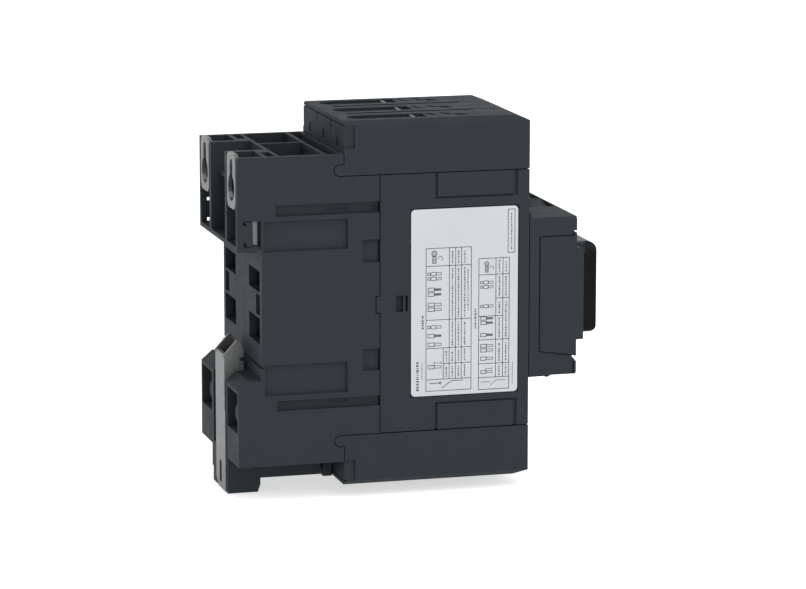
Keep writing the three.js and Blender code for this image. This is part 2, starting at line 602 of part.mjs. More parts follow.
// Lines and steps moulded around the panel on each flank
function moduleMarks() {
  const skin = [MODULE.half - 0.8, MODULE.half + PAST];
  const across = MODULE.half + PAST;
  const lowerLine = [[-94.1, -22], [-94.1, -22.5], [-106.5, -24.5], [-106.5, -24]];
  const lowerNotch = [
    [MODULE_FRONT - PAST, -24.3], [-105.4, -24.3], [MODULE_FRONT, -26.1], [MODULE_FRONT - PAST, -26.1],
  ];
  return [
    onBothSides(skin, [-105.9, -94.1], [16, 16.5]),
    onBothSides(skin, [-94.4, -93.9], [-22.4, 16.5]),
    onBothSides(skin, [-106.2, -105.5], [16, 17.9]),
    onBothSides(skin, [-106.3, -105.6], [-30, -26.1]),
    SIDES.map((side) => prism('x', lowerLine, side * skin[0], side * skin[1])),
    onBothSides([22, across], [MODULE_FRONT - PAST, -106.2], [17.1, 17.9]),
    SIDES.map((side) => prism('x', lowerNotch, side * 22.5, side * across)),
  ].flat();
}

// Sloped funnels that lead the wires down to the upper control terminals
function wireFunnels() {
  const { spans, depth, ys } = FUNNELS;
  const open = MODULE.top + PAST;
  return spans.map(([near, far]) => prism('y', [
    [open, near], [MODULE.top - depth, near], [MODULE.top - 0.1, far], [open, far],
  ], ...ys));
}

function frontModule() {
  const tray = box([-11, 11], [PAD_FRONT - PAST, -106.2], [-16.5, 8]);
  const rearRoom = box([-20, 20], [-104.4, MODULE_REAR + PAST], [-15.5, 7]);
  const stemHole = box([-3.6, 3.6], [-109, -102], [-5.6, -0.4]);
  const flagHole = box([-8.6, 8.6], [-109, -100], [-8.6, 2.6]);
  const pinHole = rod('x', [COVER_PIN.y, COVER_PIN.z], COVER_PIN.radius + GAP, -15.5, 15.5, 12);
  const terminals = CONTROL_ROWS.map(({ name, side, z, edge }) => CONTROL_X[name].map((x) => [
    box([x - 4.3, x + 4.3], [-102.6, -94], [z - 4.2, z + 4.2]),
    box([x - 3.5, x + 3.5], [-100.5, -96.2], [z, edge + side * 2 * PAST]),
    rod('y', [x, z], CONTROL.well, MODULE_FRONT - PAST, -102),
  ])).flat(2);
  return cut(moduleShell(), tray, rearRoom, stemHole, flagHole, pinHole, moduleMarks(), wireFunnels(),
    terminals);
}
place('front_module', frontModule(), PLASTIC);

function controlScrew(x, z) {
  const shank = rod('y', [x, z], 1.6, CONTROL.screwTip, CONTROL.washer - 0.4, 14);
  const washer = rod('y', [x, z], 3, CONTROL.washer, CONTROL.head, 16);
  const head = rod('y', [x, z], 2.4, CONTROL.head + 0.3, CONTROL.headFront, 16);
  const slots = [box([x - 2, x + 2], [-105, -102.8], [z - 0.35, z + 0.35]),
    box([x - 0.35, x + 0.35], [-105, -102.8], [z - 2, z + 2])];
  return cut(join(shank, washer, head), slots);
}

CONTROL_ROWS.forEach(({ name, z }) => {
  CONTROL_X[name].forEach((x, index) => {
    const label = `${name}_${index + 1}`;
    const plate = box([x - 3.8, x + 3.8], [CONTROL.plate - 1, CONTROL.plate], [z - 3.7, z + 3.7]);
    place(`control_terminal_${label}`, plate, BRASS);
    place(`control_screw_${label}`, controlScrew(x, z), STEEL);
  });
});

// Smoked cover over the indicator, hinged along its upper edge
function frontCover() {
  const { halfX, front, rear, top, bottom, sheet } = COVER;
  const inner = { front: front + sheet, low: bottom + sheet, high: top - sheet, half: halfX - sheet };
  const outerFace = roundedRect(bottom, top, -halfX, halfX, COVER_EDGE.corner);
  const innerFace = roundedRect(inner.low, inner.high, -inner.half, inner.half, COVER_EDGE.corner - 1);
  const innerSide = coverOutline(inner.front, rear + PAST, inner.low, inner.high, COVER_EDGE.front - 1);
  const outside = prism('x', coverOutline(front, rear, bottom, top, COVER_EDGE.front), -halfX, halfX)
    .intersect(prism('y', outerFace, front - PAST, rear + PAST));
  const inside = prism('x', innerSide, -inner.half, inner.half)
    .intersect(prism('y', innerFace, front, rear + 2 * PAST));
  const pin = rod('x', [COVER_PIN.y, COVER_PIN.z], COVER_PIN.radius, -COVER_PIN.half, COVER_PIN.half, 12);
  return join(cut(outside, inside), pin);
}

// Rectangle in (y, z) whose two front corners are rounded, with room to turn at its hinged corner
function coverOutline(front, rear, bottom, top, r) {
  const outline = new THREE.Shape();
  outline.moveTo(rear, bottom);
  outline.lineTo(rear, top - COVER_EDGE.hinge);
  outline.lineTo(rear - COVER_EDGE.hinge, top);
  outline.lineTo(front + r, top);
  outline.absarc(front + r, top - r, r, Math.PI / 2, Math.PI, false);
  outline.lineTo(front, bottom + r);
  outline.absarc(front + r, bottom + r, r, Math.PI, Math.PI * 1.5, false);
  return outline;
}
place('front_cover', frontCover(), [0x242424, 0.12, 0]);

export default assembly;
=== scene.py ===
"""A rail-mounted three-pole contactor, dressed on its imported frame.

Metres in the CAD's own frame: +X is the width, the front looks along -Y, +Z is up.
Lengths named in millimetres go through mm().
"""

import json
import math
import random

import bmesh
import bpy
from mathutils import Matrix, Vector


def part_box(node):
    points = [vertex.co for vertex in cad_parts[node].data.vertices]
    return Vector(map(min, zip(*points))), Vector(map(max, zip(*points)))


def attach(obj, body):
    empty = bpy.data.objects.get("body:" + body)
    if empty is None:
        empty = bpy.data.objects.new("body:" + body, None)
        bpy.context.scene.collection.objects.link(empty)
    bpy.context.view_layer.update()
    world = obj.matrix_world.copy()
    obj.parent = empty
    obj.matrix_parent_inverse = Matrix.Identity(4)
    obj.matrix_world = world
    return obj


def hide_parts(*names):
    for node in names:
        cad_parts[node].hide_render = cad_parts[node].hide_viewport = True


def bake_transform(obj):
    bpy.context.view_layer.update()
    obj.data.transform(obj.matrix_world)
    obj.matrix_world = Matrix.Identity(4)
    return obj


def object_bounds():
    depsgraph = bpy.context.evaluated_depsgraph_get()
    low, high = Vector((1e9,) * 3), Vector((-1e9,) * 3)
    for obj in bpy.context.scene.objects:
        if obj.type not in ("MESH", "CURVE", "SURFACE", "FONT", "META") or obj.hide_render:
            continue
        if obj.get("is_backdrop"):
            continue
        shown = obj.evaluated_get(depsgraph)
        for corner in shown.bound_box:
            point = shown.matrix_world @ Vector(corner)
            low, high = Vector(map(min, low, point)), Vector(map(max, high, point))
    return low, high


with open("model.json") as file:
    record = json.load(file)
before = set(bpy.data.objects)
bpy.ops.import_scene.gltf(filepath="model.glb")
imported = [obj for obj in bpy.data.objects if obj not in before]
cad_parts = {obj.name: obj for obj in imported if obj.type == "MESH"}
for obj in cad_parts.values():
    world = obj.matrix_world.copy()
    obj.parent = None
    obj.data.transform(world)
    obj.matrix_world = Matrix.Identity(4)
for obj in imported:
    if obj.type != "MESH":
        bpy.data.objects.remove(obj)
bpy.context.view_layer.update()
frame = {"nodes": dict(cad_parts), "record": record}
SEED = 7
POLES = (1, 2, 3)

# ---------------------------------------------------------------- camera
IMAGE_WIDTH = 806
CAMERA = {
    "azimuth": 254.437,
    "elevation": 10.61,
    "roll": 0.043,
    "focal_px": 3740.6,
    "at_mm": (-1182.5, 274.35, 223.93),
}
SENSOR = 36.0
CLIP_M = (0.02, 60)

# ---------------------------------------------------------------- colours, linear
PLASTIC = (0.0165, 0.0218, 0.026)
# Near-black painted shade, laid on the head's top where its recesses and the gaps between poles fall in
# shade.
PAINTED_SHADE_COLOUR = (0.003, 0.0035, 0.004)
LABEL = (0.41, 0.43, 0.44)
INK = (0.05, 0.055, 0.06)
STEEL = (0.142, 0.146, 0.145)
COPPER = (0.56, 0.27, 0.15)
BRASS = (0.55, 0.42, 0.19)
CORE = (0.23, 0.24, 0.25)
BOBBIN = (0.02, 0.022, 0.024)
RUBBER = (0.012, 0.012, 0.013)
CARRIER = (0.035, 0.024, 0.017)
# Enamel colour, with a painted shade for the grooves between turns and a painted highlight for their
# crowns.
ENAMEL = {"body": (0.32, 0.1, 0.04), "groove_shade": (0.14, 0.04, 0.02), "crown_highlight": (0.42, 0.16, 0.06)}
SMOKED = (0.0055, 0.0055, 0.0055)
# Pale colour painted on the cover's edges: a painted highlight.
SMOKED_EDGE_HIGHLIGHT = (0.16, 0.16, 0.155)


def mm(value):
    return value / 1000.0


def mm3(x, y, z):
    return Vector((mm(x), mm(y), mm(z)))


# ---------------------------------------------------------------- materials
# Sizes of the noise patches, edge bands and bump depths, in millimetres.
MOULDING = {"mottle": 14, "speckle": 0.35, "rub": 3.5, "gloss": 6, "grain": 0.3, "depth": 0.02, "edge": 0.3}
PLATING = {"streak": 0.4, "blotch": 5, "depth": 0.02, "edge": 0.2}
FILM = {"tone": 20, "gloss": 4, "tooth": 0.25, "depth": 0.01}
PRINT = {"fade": 0.8, "gloss": 2}
SMOKE = {"ripple": 9, "cloud": 6, "smear": 2.5, "depth": 0.05, "edge": 0.35}
SHEET = {"pitch": 0.5, "depth": 0.05, "gloss": 2}
WIRE = {"pitch": 0.3, "depth": 0.1, "gloss": 1}
# Cosines of the softened normal's turn that count as a full edge and as a flat.
EDGE_COSINES = (0.78, 0.985)


class Surface:
    """A Principled material with short ways to add nodes to it."""

    def __init__(self, name, colour, roughness, metallic=0.0, specular=0.5):
        self.material = bpy.data.materials.new(name)
        self.material.use_nodes = True
        self.nodes = self.material.node_tree.nodes
        self.links = self.material.node_tree.links
        self.shader = self.nodes["Principled BSDF"]
        self.shader.inputs["Base Color"].default_value = (*colour, 1)
        self.shader.inputs["Roughness"].default_value = roughness
        self.shader.inputs["Metallic"].default_value = metallic
        self.shader.inputs["Specular IOR Level"].default_value = specular
        self.place = self.nodes.new("ShaderNodeTexCoord").outputs["Object"]
        self.normal = None

    def link(self, source, target):
        self.links.new(source, target)

    def scaled(self, stretch):
        mapping = self.nodes.new("ShaderNodeMapping")
        mapping.inputs["Scale"].default_value = stretch
        self.link(self.place, mapping.inputs["Vector"])
        return mapping.outputs["Vector"]

    def noise(self, size_mm, detail=3.0, stretch=(1, 1, 1)):
        node = self.nodes.new("ShaderNodeTexNoise")
        node.inputs["Scale"].default_value = 1000.0 / size_mm
        node.inputs["Detail"].default_value = detail
        self.link(self.scaled(stretch), node.inputs["Vector"])
        return node.outputs["Fac"]

    def ranged(self, source, low, high, start=0.3, end=0.7):
        node = self.nodes.new("ShaderNodeMapRange")
        for socket, value in (("From Min", start), ("From Max", end), ("To Min", low), ("To Max", high)):
            node.inputs[socket].default_value = value
        self.link(source, node.inputs["Value"])
        return node.outputs["Result"]

    def mix(self, mask, first, second):
        node = self.nodes.new("ShaderNodeMix")
        node.data_type = "RGBA"
        for socket, value in ((node.inputs[6], first), (node.inputs[7], second)):
            if hasattr(value, "is_output"):
                self.link(value, socket)
            else:
                socket.default_value = (*value, 1)
        self.link(mask, node.inputs[0])
        return node.outputs[2]

    def bump(self, height, strength, depth_mm):
        node = self.nodes.new("ShaderNodeBump")
        node.inputs["Strength"].default_value = strength
        node.inputs["Distance"].default_value = mm(depth_mm)
        self.link(height, node.inputs["Height"])
        if self.normal:
            self.link(self.normal, node.inputs["Normal"])
        self.normal = node.outputs["Normal"]

    def edges(self, radius_mm):
        """1 along edges and 0 on flats: how far a softened normal turns from the true one."""
        soft = self.nodes.new("ShaderNodeBevel")
        soft.inputs["Radius"].default_value = mm(radius_mm)
        true = self.nodes.new("ShaderNodeNewGeometry").outputs["Normal"]
        dot = self.nodes.new("ShaderNodeVectorMath")
        dot.operation = "DOT_PRODUCT"
        self.link(soft.outputs["Normal"], dot.inputs[0])
        self.link(true, dot.inputs[1])
        return self.ranged(dot.outputs["Value"], 1.0, 0.0, *EDGE_COSINES)

    def bands(self, direction, pitch_mm, distortion=0.0):
        """Even stripes across one axis."""
        wave = self.nodes.new("ShaderNodeTexWave")
        wave.bands_direction = direction
        wave.inputs["Scale"].default_value = 1000.0 / pitch_mm / math.tau
        wave.inputs["Distortion"].default_value = distortion
        self.link(self.place, wave.inputs["Vector"])
        return wave.outputs["Fac"]

    def finish(self, colour=None, roughness=None):
        if colour is not None:
            self.link(colour, self.shader.inputs["Base Color"])
        if roughness is not None:
            self.link(roughness, self.shader.inputs["Roughness"])
        if self.normal:
            self.link(self.normal, self.shader.inputs["Normal"])
        return self.material


def shade(colour, factor):
    return tuple(min(1.0, c * factor) for c in colour)


def moulded(name, colour, roughness, grain=0.25, edge=1.7, specular=0.14):
    """Glass-filled moulding: spark-eroded grain, slow mottling, and edges painted paler, partly as rubbed
    wear and partly as a painted highlight.
    """
    s = Surface(name, colour, roughness, specular=specular)
    size = MOULDING
    mottled = s.mix(s.ranged(s.noise(size["mottle"]), 0, 1), shade(colour, 0.96), shade(colour, 1.04))
    speckled = s.mix(s.ranged(s.noise(size["speckle"], 2), 0, 1), shade(colour, 0.94), mottled)
    # Edges painted paler: partly rubbed wear, partly a painted highlight along every edge; the rub noise
    # breaks the band up.
    worn_and_highlit = s.nodes.new("ShaderNodeMath")
    worn_and_highlit.operation = "MULTIPLY"
    s.link(s.edges(size["edge"]), worn_and_highlit.inputs[0])
    s.link(s.ranged(s.noise(size["rub"], 4), 0.45, 0.9), worn_and_highlit.inputs[1])
    final = s.mix(worn_and_highlit.outputs[0], speckled, shade(colour, edge))
    s.bump(s.noise(size["grain"], 4), grain, size["depth"])
    return s.finish(final, s.ranged(s.noise(size["gloss"], 4), roughness - 0.05, roughness + 0.06))


def metal(name, colour, roughness, stretch=(1, 1, 1), edge=1.25):
    """Plated or rolled metal: drawn streaks, faint blotches and edges painted brighter as a painted
    highlight.
    """
    s = Surface(name, colour, roughness, metallic=0.9)
    size = PLATING
    streaks = s.noise(size["streak"], 5, stretch)
    blotched = s.mix(s.ranged(s.noise(size["blotch"], 4), 0, 1), shade(colour, 0.86), colour)
    # Painted highlight: every edge is painted brighter than the flats.
    final = s.mix(s.edges(size["edge"]), blotched, shade(colour, edge))
    s.bump(streaks, 0.18, size["depth"])
    return s.finish(final, s.ranged(streaks, roughness - 0.08, roughness + 0.1))


def laminated():
    """Stacked magnet sheets, seen as fine lines across the width."""
    s = Surface("laminated_steel", CORE, 0.5, metallic=0.8)
    lines = s.bands("X", SHEET["pitch"], distortion=0.3)
    s.bump(lines, 0.5, SHEET["depth"])
    return s.finish(s.mix(lines, shade(CORE, 0.6), CORE), s.ranged(s.noise(SHEET["gloss"]), 0.42, 0.6))


def wound():
    """Enamelled copper wire laid in turns, each turn painted darker in its groove and paler on its crown as
    painted shade and painted highlight.
    """
    s = Surface("enamelled_wire", ENAMEL["body"], 0.3, metallic=0.5)
    turns = s.bands("Y", WIRE["pitch"])
    s.bump(turns, 0.8, WIRE["depth"])
    # Painted shade in the grooves between turns and painted highlight on their crowns.
    final = s.mix(turns, ENAMEL["groove_shade"], ENAMEL["crown_highlight"])
    return s.finish(final, s.ranged(s.noise(WIRE["gloss"]), 0.25, 0.4))


def film():
    """Printed label film: faint tooth and a slow change of tone."""
    s = Surface("label_film", LABEL, 0.5, specular=0.3)
    tone = s.mix(s.ranged(s.noise(FILM["tone"], 2), 0, 1), shade(LABEL, 0.975), shade(LABEL, 1.02))
    s.bump(s.noise(FILM["tooth"], 3), 0.12, FILM["depth"])
    return s.finish(tone, s.ranged(s.noise(FILM["gloss"]), 0.44, 0.56))


def ink():
    """Print on the film, thinner in places."""
    s = Surface("label_ink", INK, 0.55, specular=0.2)
    final = s.mix(s.ranged(s.noise(PRINT["fade"], 4), 0, 1), INK, shade(INK, 1.9))
    return s.finish(final, s.ranged(s.noise(PRINT["gloss"]), 0.5, 0.62))


def smoked():
    """Dark clear cover with faint handling marks, and a pale band painted along its edges as a painted
    highlight.
    """
    s = Surface("smoked_cover", SMOKED, 0.08, specular=0.02)
    s.shader.inputs["Transmission Weight"].default_value = 0.06
    s.shader.inputs["IOR"].default_value = 1.49
    s.bump(s.noise(SMOKE["ripple"], 2), 0.05, SMOKE["depth"])
    clouded = s.mix(s.ranged(s.noise(SMOKE["cloud"], 4), 0, 1), SMOKED, shade(SMOKED, 1.5))
    # Painted highlight: a pale band along the cover's edges.
    final = s.mix(s.edges(SMOKE["edge"]), clouded, SMOKED_EDGE_HIGHLIGHT)
    return s.finish(final, s.ranged(s.noise(SMOKE["smear"], 6), 0.05, 0.13))


MATERIALS = {
    "moulded_plastic": moulded("moulded_plastic", PLASTIC, 0.66),
    "label_film": film(),
    "zinc_steel": metal("zinc_steel", STEEL, 0.42, stretch=(1, 1, 0.15)),
    "contact_copper": metal("contact_copper", COPPER, 0.35),
    "terminal_brass": metal("terminal_brass", BRASS, 0.36),
    "core_steel": laminated(),
    "winding": wound(),
    "bobbin_plastic": moulded("bobbin_plastic", BOBBIN, 0.5),
    "carrier_plastic": moulded("carrier_plastic", CARRIER, 0.48),
    "pad_rubber": moulded("pad_rubber", RUBBER, 0.85, grain=0.4),
    "smoked_cover": smoked(),
}
INK_MATERIAL = ink()
# Painted shade for the head's recesses and the gaps between the poles.
RECESS_SHADE = moulded("recess_shade_plastic", PAINTED_SHADE_COLOUR, 0.9, grain=0.2, edge=1.2, specular=0.0)


def wear(obj, material):
    obj.data.materials.clear()
    obj.data.materials.append(material)


# ---------------------------------------------------------------- CAD nodes
EDGE_MM = {
    "rear_base": 0.22, "front_housing": 0.22, "power_head_top": 0.25, "power_head_bottom": 0.25,
    "front_module": 0.25, "front_cover": 0.3, "contact_carrier": 0.2, "coil_bobbin": 0.2,
    "mounting_lug_left": 0.15, "mounting_lug_right": 0.15, "din_clip": 0.15, "side_label": 0.04,
}
OTHER_EDGE_MM = 0.12
NO_BEVEL = ("spring", "winding", "pad")
WELD_MM = 0.002
FLAT_DEGREES = 1.0
SHARP_DEGREES = 32


def soften(obj, width_mm):
    """Rounds the edges of a CAD node without touching its mesh."""
    weld = obj.modifiers.new("weld", "WELD")
    weld.merge_threshold = mm(WELD_MM)
    flat = obj.modifiers.new("flatten", "DECIMATE")
    flat.decimate_type = "DISSOLVE"
    flat.angle_limit = math.radians(FLAT_DEGREES)
    bevel = obj.modifiers.new("edges", "BEVEL")
    bevel.width = mm(width_mm)
    bevel.segments = 2
    bevel.limit_method = "ANGLE"
    bevel.angle_limit = math.radians(SHARP_DEGREES)
    bevel.use_clamp_overlap = True
    bevel.harden_normals = False


def dress_nodes():
    slot_of = {part["node"]: part["material_slot"] for part in frame["record"]["subparts"]}
    for name, obj in frame["nodes"].items():
        wear(obj, MATERIALS[slot_of[name]])
        if not any(word in name for word in NO_BEVEL):
            soften(obj, EDGE_MM.get(name, OTHER_EDGE_MM))


def flexing_spring(node):
    """A copy of a CAD spring standing in its place, with the CAD spring hidden."""
    source = frame["nodes"][node]
    coil = bpy.data.objects.new(f"{node}_coil", source.data.copy())
    coil.matrix_world = source.matrix_world.copy()
    bpy.context.scene.collection.objects.link(coil)
    wear(coil, MATERIALS["zinc_steel"])
    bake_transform(coil)
    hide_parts(node)


def flexing_springs():
    for node in ("return_spring_left", "return_spring_right"):
        flexing_spring(node)
    for pole in POLES:
        node = f"contact_spring_{pole}"
        flexing_spring(node)
    flexing_spring("din_clip_spring")


# ---------------------------------------------------------------- drawn details
DASH = {"length": (0.22, 0.75), "gap": (0.18, 0.42), "reach": (0.6, 1), "shortest_left": 0.4}
MARK_THICKNESS = 0.02


class Sketch:
    """Thin closed slivers laid on a plane.

    place(u, v, h) turns millimetres along, across and off the plane into a point in the row frame.
    """

    def __init__(self, place, thickness):
        self.bm = bmesh.new()
        self.place = place
        self.thickness = thickness

    def shape(self, points):
        low = [self.bm.verts.new(self.place(u, v, 0.0)) for u, v in points]
        high = [self.bm.verts.new(self.place(u, v, self.thickness)) for u, v in points]
        self.bm.faces.new(low)
        self.bm.faces.new(list(reversed(high)))
        for i in range(len(points)):
            j = (i + 1) % len(points)
            self.bm.faces.new((low[i], high[i], high[j], low[j]))

    def bar(self, u0, v0, u1, v1):
        self.shape([(u0, v0), (u1, v0), (u1, v1), (u0, v1)])

    def line(self, a, b, width):
        a, b = Vector(a), Vector(b)
        along = (b - a).normalized()
        side = Vector((-along.y, along.x)) * width / 2
        self.shape([tuple(p) for p in (a - side, b - side, b + side, a + side)])

    def frame(self, u0, v0, u1, v1, width):
        half = width / 2
        for v in (v0, v1):
            self.bar(u0 - half, v - half, u1 + half, v + half)
        for u in (u0, u1):
            self.bar(u - half, v0 + half, u + half, v1 - half)

    def arc(self, centre, radius, width, start=0.0, end=360.0, steps=18):
        turns = [math.radians(start + (end - start) * i / steps) for i in range(steps + 1)]
        rings = [
            [(centre[0] + r * math.cos(t), centre[1] + r * math.sin(t)) for t in turns]
            for r in (radius - width / 2, radius + width / 2)
        ]
        for i in range(steps):
            self.shape([rings[0][i], rings[1][i], rings[1][i + 1], rings[0][i + 1]])

    def words(self, u, v0, v1, height, rng):
        """A line of print reduced to plain dashes, running along v."""
        v = v0
        while v < v1 - DASH["shortest_left"]:
            length = min(rng.uniform(*DASH["length"]), v1 - v)
            low = u - height / 2 * rng.uniform(*DASH["reach"])
            high = u + height / 2 * rng.uniform(*DASH["reach"])
            self.bar(low, v, high, v + length)
            v += length + rng.uniform(*DASH["gap"])

    def build(self, name, material, body):
        bmesh.ops.recalc_face_normals(self.bm, faces=self.bm.faces)
        return add_mesh(name, self.bm, material, body)


def add_mesh(name, bm, material, body):
    mesh = bpy.data.meshes.new(name)
    bm.to_mesh(mesh)
    bm.free()
    obj = bpy.data.objects.new(name, mesh)
    bpy.context.scene.collection.objects.link(obj)
    wear(obj, material)
    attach(obj, body)
    return obj


# ---------------------------------------------------------------- label print
# u runs across the label from its rear edge and v up it from its lower edge, in millimetres.
RULE = 0.24
PEN = {"hair": 0.14, "fine": 0.18, "thin": 0.2, "plain": 0.22, "firm": 0.24, "bold": 0.26}
POWER = {
    "u": (5.05, 12.97, 15.1, 17.1, 20.45),
    "v": (49.1, 43.2, 25.3, 15.85, 5.4, 1.55),
    "split": (10.95, 10.6),
    "heading": {"inset": 1.1, "from": 28, "to": 42, "height": 0.4},
    "screw": {"u": 2.8, "v": 1.0, "size": 1.0},
    "pairs": ((39.8, "fork"), (34.6, "solid"), (29.6, "plain")),
    "singles": ((22.9, "fork"), (20.0, "solid"), (17.1, "plain")),
    "apart": 0.8,
    "size": 1.0,
    "stripped": {"u": 0.7, "v": 9.6, "size": 1.0},
    "key": {"u": 1.2, "v": 1.9},
}
CONTROL = {
    "u": (23.04, 28.88, 31.28, 33.45),
    "v": (44.98, 39.55, 25.7, 17.8, 9.8, 5.15, 1.15),
    "split": 31.6,
    "screw": {"u": 2.7, "v": 0.9, "size": 0.85},
    "pairs": ((36.2, "fork"), (24.2, "solid"), (15.0, "plain")),
    "singles": ((29.0, "fork"), (19.4, "solid"), (11.5, "plain")),
    "apart": 0.75,
    "size": 0.92,
    "stripped": {"u": 0.8, "v": 7.0, "size": 0.85},
    "switch": {"u": 0.7, "v": 2.0},
}
WIRE_INDENT = 0.7
CELL = {"tall": 5, "inset": 0.7, "low_inset": 0.5, "height": 0.56}
FERRULE = {"body": 2.1, "tail": 2.4, "wide": 1.15, "narrow": 0.8}
# Each line of print is its u, where it starts and ends along v, and its height.
HEADINGS = (
    (3.9, 22.4, 27.6, 0.8),
    (21.9, 21.8, 28.8, 0.75),
    (34.7, 2.4, 10.6, 0.3),
    (2.2, 1.8, 11.5, 1.0),
    (3.7, 5.6, 11.0, 0.35),
)
BLANK_FRAME = (33.0, 46.6, 35.3, 61.0)
FRAME_PRINT = (34.15, 47.6, 60.0, 0.5)


def label_print():
    low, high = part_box("side_label")
    page = Sketch(lambda u, v, h: Vector((low.x - mm(h), high.y - mm(u), low.z + mm(v))), MARK_THICKNESS)
    rng = random.Random(SEED)
    power_table(page, rng)
    control_table(page, rng)
    plain_marks(page, rng)
    return page.build("label_print", INK_MATERIAL, "root")


def power_table(page, rng):
    u, v = POWER["u"], POWER["v"]
    inner, split = POWER["split"]
    page.frame(u[0], v[5], u[4], v[0], RULE)
    for row in v[1:5]:
        page.line((u[0], row), (u[4], row), RULE)
    for column in u[1:4]:
        page.line((column, v[0]), (column, v[4]), RULE)
    page.line((inner, v[3]), (inner, v[4]), RULE)
    page.line((inner, split), (u[4], split), RULE)
    heading = POWER["heading"]
    edge = u[4] - heading["inset"]
    cells = [(v[1], v[0]), (v[2], v[1]), (v[3], v[2]), (split, v[3]), (v[4], split)]
    column_words(page, [(u[1], u[2]), (u[2], u[3]), (u[3], edge)], cells, rng)
    column_words(page, [(inner, u[1])], [(split, v[3]), (v[4], split)], rng)
    page.words(edge, heading["from"], heading["to"], heading["height"], rng)
    screw, key = POWER["screw"], POWER["key"]
    socket_screw(page, (u[0] + screw["u"], v[1] + screw["v"]), screw["size"])
    wire_ends(page, POWER)
    hex_key(page, u[0] + key["u"], v[5] + key["v"])


def control_table(page, rng):
    u, v = CONTROL["u"], CONTROL["v"]
    split = CONTROL["split"]
    page.frame(u[0], v[6], u[3], v[0], RULE)
    for row in (v[1], v[3], v[4], v[5]):
        page.line((u[0], row), (u[3], row), RULE)
    page.line((u[0], v[2]), (u[2], v[2]), RULE)
    page.line((u[1], split), (u[3], split), RULE)
    for column in u[1:3]:
        page.line((column, v[0]), (column, v[5]), RULE)
    above, below = [(v[1], v[0]), (split, v[1])], [(v[4], v[3]), (v[5], v[4])]
    column_words(page, [(u[1], u[2])], above + [(v[2], split), (v[3], v[2])] + below, rng)
    column_words(page, [(u[2], u[3])], above + [(v[3], split)] + below, rng)
    screw, switch = CONTROL["screw"], CONTROL["switch"]
    socket_screw(page, (u[0] + screw["u"], v[1] + screw["v"]), screw["size"])
    wire_ends(page, CONTROL)
    switch_symbol(page, u[0] + switch["u"], v[6] + switch["v"])


def column_words(page, columns, cells, rng):
    for left, right in columns:
        for low, high in cells:
            inset = CELL["inset"] if high - low > CELL["tall"] else CELL["low_inset"]
            page.words((left + right) / 2, low + inset, high - inset, CELL["height"], rng)


def wire_ends(page, table):
    """Cells with two wires, then cells with one, then the stripped wire."""
    edge, size = table["u"][0], table["size"]
    for centre, kind in table["pairs"]:
        for side in (-1, 1):
            ferrule(page, edge + WIRE_INDENT, centre + side * table["apart"], kind, size)
    for centre, kind in table["singles"]:
        ferrule(page, edge + WIRE_INDENT, centre, kind, size)
    stripped = table["stripped"]
    stripped_end(page, edge + stripped["u"], stripped["v"], stripped["size"])


def ferrule(page, u, v, kind, size):
    """A wire end seen from the side: the insulated collar, then the crimped or bare tail."""
    wide, narrow = FERRULE["wide"] * size, FERRULE["narrow"] * size
    middle, end = u + FERRULE["body"] * size, u + (FERRULE["body"] + FERRULE["tail"]) * size
    if kind == "fork":
        forked_collar(page, u, v, size)
        page.frame(middle + 0.7, v - narrow / 2, end, v + narrow / 2, PEN["thin"])
        return
    page.frame(u, v - wide / 2, middle, v + wide / 2, PEN["firm"])
    if kind == "solid":
        page.bar(middle, v - narrow / 2, end, v + narrow / 2)
    else:
        page.frame(middle, v - narrow / 2, end, v + narrow / 2, PEN["thin"])


def forked_collar(page, u, v, size):
    """A small square tip, then a collar that opens from a point."""
    wide, narrow = FERRULE["wide"] * size, FERRULE["narrow"] * size
    middle = u + FERRULE["body"] * size
    page.frame(u - 0.1, v - narrow / 2, u + 0.75 * size, v + narrow / 2, PEN["plain"])
    collar = [
        (u + 0.85 * size, v),
        (u + 1.2 * size, v - wide / 2),
        (middle + 0.3, v - wide / 2),
        (middle + 0.6, v - narrow / 2),
    ]
    outline = collar + [(a, 2 * v - b) for a, b in reversed(collar[1:])]
    for i in range(len(outline)):
        page.line(outline[i], outline[(i + 1) % len(outline)], PEN["plain"])


def stripped_end(page, u, v, size):
    """A wire end with its stripped length dimensioned."""
    ferrule(page, u, v, "plain", size)
    start, end = u + FERRULE["body"] * size, u + (FERRULE["body"] + FERRULE["tail"]) * size
    page.line((start, v + 1.3 * size), (end, v + 1.3 * size), PEN["fine"])
    for at in (start, end):
        page.line((at, v + 0.8 * size), (at, v + 1.8 * size), PEN["fine"])


def socket_screw(page, centre, size):
    """A socket-head screw: its head from above, its thread, and the arrow for turning it."""
    u, v = centre
    page.arc((u, v + 3.2 * size), 0.85 * size, 0.3 * size)
    page.arc((u, v + 3.2 * size), 0.4 * size, 0.2 * size, steps=6)
    for row in range(6):
        start, end = v + row * 0.42 * size, v + (row + 0.4) * 0.42 * size
        page.line((u - 0.65 * size, start), (u + 0.65 * size, end), PEN["thin"])
    page.frame(u - 0.65 * size, v - 0.1, u + 0.65 * size, v + 2.3 * size, PEN["hair"])
    page.arc((u + 2.0 * size, v + 1.5 * size), 0.75 * size, PEN["thin"], start=-60, end=200, steps=14)


def hex_key(page, u, v):
    page.line((u, v + 0.7), (u + 3.6, v + 0.7), PEN["bold"])
    page.arc((u + 3.7, v + 0.7), 0.35, PEN["bold"], steps=12)
    page.line((u + 4.2, v - 1.0), (u + 7.6, v + 1.3), PEN["bold"])
    page.line((u + 7.6, v + 1.3), (u + 11.5, v + 1.3), PEN["bold"])


def switch_symbol(page, u, v):
    page.line((u, v + 0.5), (u + 3.4, v + 0.5), PEN["thin"])
    page.line((u + 3.5, v - 0.6), (u + 5.2, v + 0.9), PEN["thin"])
    page.line((u + 5.2, v + 0.9), (u + 8.6, v + 0.9), PEN["thin"])


def plain_marks(page, rng):
    """Headings and small print, all as plain dashes, and one empty frame."""
    for u, start, end, height in HEADINGS:
        page.words(u, start, end, height, rng)
    page.frame(*BLANK_FRAME, RULE)
    page.words(*FRAME_PRINT, rng)


